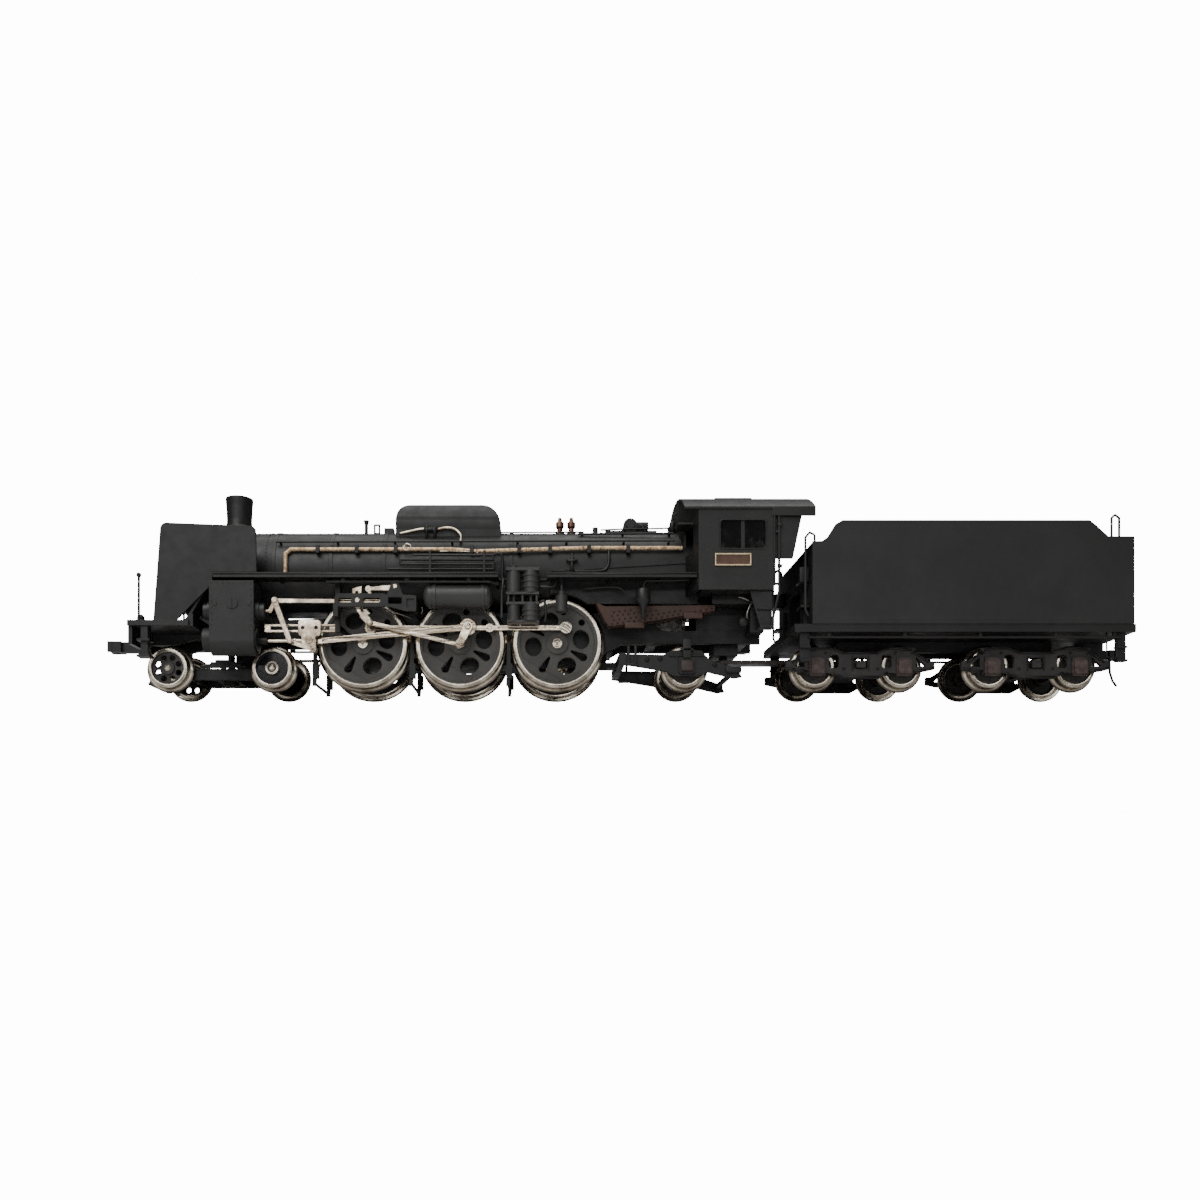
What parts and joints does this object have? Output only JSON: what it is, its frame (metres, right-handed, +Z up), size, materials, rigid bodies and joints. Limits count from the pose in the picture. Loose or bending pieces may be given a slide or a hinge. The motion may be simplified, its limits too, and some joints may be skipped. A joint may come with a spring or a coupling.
{
  "type": "model steam locomotive",
  "caption": "Model steam railway locomotive with tender: coupled driving wheels, outside valve gear, swivelling bogies, knuckle couplers, cab and coal space.",
  "frame": {"origin": "bottom centre of the bounding box: flange bottoms, middle of the train's length and width", "axes": "-X towards the chimney end, +X towards the tender, Y across the track with the pictured side at -Y, +Z up"},
  "size_m": [0.256, 0.036, 0.0503],
  "materials": {
    "satin_black": "satin black lacquer",
    "nickel": "satin nickel plate",
    "brass": "dull brass",
    "ash_brown": "matt rust brown"
  },
  "bodies": {
    "locomotive": {"main_frame": "satin_black", "keeper_plate": "satin_black", "cylinder_block": "satin_black", "slide_bars": "nickel", "motion_brackets": "satin_black", "boiler_shell": "satin_black", "smokebox_front": "satin_black", "chimney": "satin_black", "dome_casing": "satin_black", "smoke_deflectors": "satin_black", "front_deck": "satin_black", "running_boards": "satin_black", "cab_shell": "satin_black", "number_plates": "ash_brown", "backhead": "satin_black", "ash_pan": "ash_brown", "air_reservoirs": "satin_black", "air_pumps": "satin_black", "boiler_pipes": "brass", "handrails": "satin_black", "boiler_fittings": "satin_black", "motor": "nickel", "gearbox": "brass"},
    "worm": {"worm_shaft": "nickel"},
    "driver_axle_1": {"driver_wheels_1": "nickel"},
    "driver_axle_2": {"driver_wheels_2": "nickel", "return_cranks": "nickel"},
    "driver_axle_3": {"driver_wheels_3": "nickel", "axle_gear": "brass"},
    "side_rod_left": {"side_rod_left": "nickel"},
    "side_rod_right": {"side_rod_right": "nickel"},
    "main_rod_left": {"main_rod_left": "nickel"},
    "main_rod_right": {"main_rod_right": "nickel"},
    "eccentric_rod_left": {"eccentric_rod_left": "nickel"},
    "eccentric_rod_right": {"eccentric_rod_right": "nickel"},
    "crosshead_left": {"crosshead_left": "nickel"},
    "crosshead_right": {"crosshead_right": "nickel"},
    "expansion_link_left": {"expansion_link_left": "nickel"},
    "expansion_link_right": {"expansion_link_right": "nickel"},
    "combination_lever_left": {"combination_lever_left": "nickel"},
    "combination_lever_right": {"combination_lever_right": "nickel"},
    "radius_rod_left": {"radius_rod_left": "nickel"},
    "radius_rod_right": {"radius_rod_right": "nickel"},
    "reversing_arm": {"reversing_arm": "nickel"},
    "leading_bogie": {"leading_bogie": "satin_black"},
    "leading_wheels_1": {"leading_wheels_1": "nickel"},
    "leading_wheels_2": {"leading_wheels_2": "nickel"},
    "trailing_truck": {"trailing_truck": "satin_black"},
    "trailing_wheels": {"trailing_wheels": "nickel"},
    "drawbar": {"drawbar": "nickel"},
    "tender": {"tender_frame": "satin_black", "tender_tank": "satin_black"},
    "tender_bogie_1": {"tender_bogie_1": "satin_black"},
    "tender_bogie_2": {"tender_bogie_2": "satin_black"},
    "tender_wheels_1": {"tender_wheels_1": "nickel"},
    "tender_wheels_2": {"tender_wheels_2": "nickel"},
    "tender_wheels_3": {"tender_wheels_3": "nickel"},
    "tender_wheels_4": {"tender_wheels_4": "nickel"},
    "coupler_front": {"coupler_front": "satin_black"},
    "coupler_rear": {"coupler_rear": "satin_black"}
  },
  "joints": [
    {"name": "driver_spin", "type": "hinge", "parent": "locomotive", "child": "driver_axle_2", "pos_m": [-0.0385, 0, 0.01174], "axis": [0, 1, 0], "continuous": true},
    {"name": "driver_1_spin", "type": "hinge", "parent": "locomotive", "child": "driver_axle_1", "pos_m": [-0.06225, 0, 0.01174], "axis": [0, 1, 0], "continuous": true},
    {"name": "driver_3_spin", "type": "hinge", "parent": "locomotive", "child": "driver_axle_3", "pos_m": [-0.01475, 0, 0.01174], "axis": [0, 1, 0], "continuous": true},
    {"name": "worm_spin", "type": "hinge", "parent": "locomotive", "child": "worm", "pos_m": [-0.01475, 0, 0.01864], "axis": [1, 0, 0], "continuous": true},
    {"name": "side_rod_left_turn", "type": "hinge", "parent": "driver_axle_2", "child": "side_rod_left", "pos_m": [-0.03644, -0.0108, 0.01531], "axis": [0, 1, 0], "continuous": true},
    {"name": "main_rod_left_turn", "type": "hinge", "parent": "driver_axle_2", "child": "main_rod_left", "pos_m": [-0.03644, -0.0118, 0.01531], "axis": [0, 1, 0], "continuous": true},
    {"name": "eccentric_rod_left_turn", "type": "hinge", "parent": "driver_axle_2", "child": "eccentric_rod_left", "pos_m": [-0.03855, -0.01335, 0.01074], "axis": [0, 1, 0], "continuous": true},
    {"name": "crosshead_left_slide", "type": "slide", "parent": "locomotive", "child": "crosshead_left", "axis": [1, 0, 0], "range_m": [-0.00635, 0.00189]},
    {"name": "expansion_link_left_rock", "type": "hinge", "parent": "locomotive", "child": "expansion_link_left", "pos_m": [-0.0626, -0.0142, 0.0209], "axis": [0, 1, 0], "range_deg": [-14.5, 14.5]},
    {"name": "radius_rod_left_slide", "type": "slide", "parent": "locomotive", "child": "radius_rod_left", "axis": [1, 0, 0], "range_m": [-0.000366, 0.000366]},
    {"name": "combination_lever_left_swing", "type": "hinge", "parent": "radius_rod_left", "child": "combination_lever_left", "pos_m": [-0.0824, -0.0156, 0.0209], "axis": [0, 1, 0], "range_deg": [-11.14, 36.18]},
    {"name": "side_rod_right_turn", "type": "hinge", "parent": "driver_axle_2", "child": "side_rod_right", "pos_m": [-0.03493, 0.0108, 0.00968], "axis": [0, 1, 0], "continuous": true},
    {"name": "main_rod_right_turn", "type": "hinge", "parent": "driver_axle_2", "child": "main_rod_right", "pos_m": [-0.03493, 0.0118, 0.00968], "axis": [0, 1, 0], "continuous": true},
    {"name": "eccentric_rod_right_turn", "type": "hinge", "parent": "driver_axle_2", "child": "eccentric_rod_right", "pos_m": [-0.0395, 0.01335, 0.01179], "axis": [0, 1, 0], "continuous": true},
    {"name": "crosshead_right_slide", "type": "slide", "parent": "locomotive", "child": "crosshead_right", "axis": [1, 0, 0], "range_m": [-0.00775, 0.00049]},
    {"name": "expansion_link_right_rock", "type": "hinge", "parent": "locomotive", "child": "expansion_link_right", "pos_m": [-0.0626, 0.0142, 0.0209], "axis": [0, 1, 0], "range_deg": [-14.5, 14.5]},
    {"name": "radius_rod_right_slide", "type": "slide", "parent": "locomotive", "child": "radius_rod_right", "axis": [1, 0, 0], "range_m": [-0.000366, 0.000366]},
    {"name": "combination_lever_right_swing", "type": "hinge", "parent": "radius_rod_right", "child": "combination_lever_right", "pos_m": [-0.0824, 0.0156, 0.0209], "axis": [0, 1, 0], "range_deg": [-3.29, 44.03]},
    {"name": "reversing_arm_turn", "type": "hinge", "parent": "locomotive", "child": "reversing_arm", "pos_m": [-0.0536, 0, 0.0242], "axis": [0, 1, 0], "range_deg": [-2, 9]},
    {"name": "leading_bogie_swivel", "type": "hinge", "parent": "locomotive", "child": "leading_bogie", "pos_m": [-0.0972, 0, 0.007], "axis": [0, 0, 1], "range_deg": [-4, 4]},
    {"name": "leading_wheels_1_spin", "type": "hinge", "parent": "leading_bogie", "child": "leading_wheels_1", "pos_m": [-0.10995, 0, 0.0058], "axis": [0, 1, 0], "continuous": true},
    {"name": "leading_wheels_2_spin", "type": "hinge", "parent": "leading_bogie", "child": "leading_wheels_2", "pos_m": [-0.08445, 0, 0.0058], "axis": [0, 1, 0], "continuous": true},
    {"name": "trailing_truck_swivel", "type": "hinge", "parent": "locomotive", "child": "trailing_truck", "pos_m": [-0.003, 0, 0.0078], "axis": [0, 0, 1], "range_deg": [-4, 4]},
    {"name": "trailing_wheels_spin", "type": "hinge", "parent": "trailing_truck", "child": "trailing_wheels", "pos_m": [0.0165, 0, 0.0058], "axis": [0, 1, 0], "continuous": true},
    {"name": "drawbar_front_pivot", "type": "hinge", "parent": "locomotive", "child": "drawbar", "pos_m": [0.0275, 0, 0.0086], "axis": [0, 0, 1], "range_deg": [-4, 4]},
    {"name": "drawbar_rear_pivot", "type": "hinge", "parent": "drawbar", "child": "tender", "pos_m": [0.05, 0, 0.0086], "axis": [0, 0, 1], "range_deg": [-4, 4]},
    {"name": "tender_bogie_1_swivel", "type": "hinge", "parent": "tender", "child": "tender_bogie_1", "pos_m": [0.05865, 0, 0.007], "axis": [0, 0, 1], "range_deg": [-6, 6]},
    {"name": "tender_wheels_1_spin", "type": "hinge", "parent": "tender_bogie_1", "child": "tender_wheels_1", "pos_m": [0.0481, 0, 0.0058], "axis": [0, 1, 0], "continuous": true},
    {"name": "tender_wheels_2_spin", "type": "hinge", "parent": "tender_bogie_1", "child": "tender_wheels_2", "pos_m": [0.0692, 0, 0.0058], "axis": [0, 1, 0], "continuous": true},
    {"name": "tender_bogie_2_swivel", "type": "hinge", "parent": "tender", "child": "tender_bogie_2", "pos_m": [0.10115, 0, 0.007], "axis": [0, 0, 1], "range_deg": [-6, 6]},
    {"name": "tender_wheels_3_spin", "type": "hinge", "parent": "tender_bogie_2", "child": "tender_wheels_3", "pos_m": [0.0906, 0, 0.0058], "axis": [0, 1, 0], "continuous": true},
    {"name": "tender_wheels_4_spin", "type": "hinge", "parent": "tender_bogie_2", "child": "tender_wheels_4", "pos_m": [0.1117, 0, 0.0058], "axis": [0, 1, 0], "continuous": true},
    {"name": "coupler_front_swing", "type": "hinge", "parent": "locomotive", "child": "coupler_front", "pos_m": [-0.1189, 0, 0.0126], "axis": [0, 0, 1], "range_deg": [-8, 8]},
    {"name": "coupler_rear_swing", "type": "hinge", "parent": "tender", "child": "coupler_rear", "pos_m": [0.1192, 0, 0.0107], "axis": [0, 0, 1], "range_deg": [-8, 8]}
  ],
  "couplings": [
    {"joint": "driver_1_spin", "follows": "driver_spin", "ratio": 1},
    {"joint": "driver_3_spin", "follows": "driver_spin", "ratio": 1},
    {"joint": "worm_spin", "follows": "driver_spin", "ratio": 24},
    {"joint": "side_rod_left_turn", "follows": "driver_spin", "ratio": -1},
    {"joint": "main_rod_left_turn", "follows": "driver_spin", "ratio": -1},
    {"joint": "eccentric_rod_left_turn", "follows": "driver_spin", "ratio": -1},
    {"joint": "expansion_link_left_rock", "follows": "radius_rod_left_slide", "rad_per_m": 666.67},
    {"joint": "combination_lever_left_swing", "follows": "crosshead_left_slide", "rad_per_m": -98},
    {"joint": "side_rod_right_turn", "follows": "driver_spin", "ratio": -1},
    {"joint": "main_rod_right_turn", "follows": "driver_spin", "ratio": -1},
    {"joint": "eccentric_rod_right_turn", "follows": "driver_spin", "ratio": -1},
    {"joint": "expansion_link_right_rock", "follows": "radius_rod_right_slide", "rad_per_m": 666.67},
    {"joint": "combination_lever_right_swing", "follows": "crosshead_right_slide", "rad_per_m": -98}
  ]
}
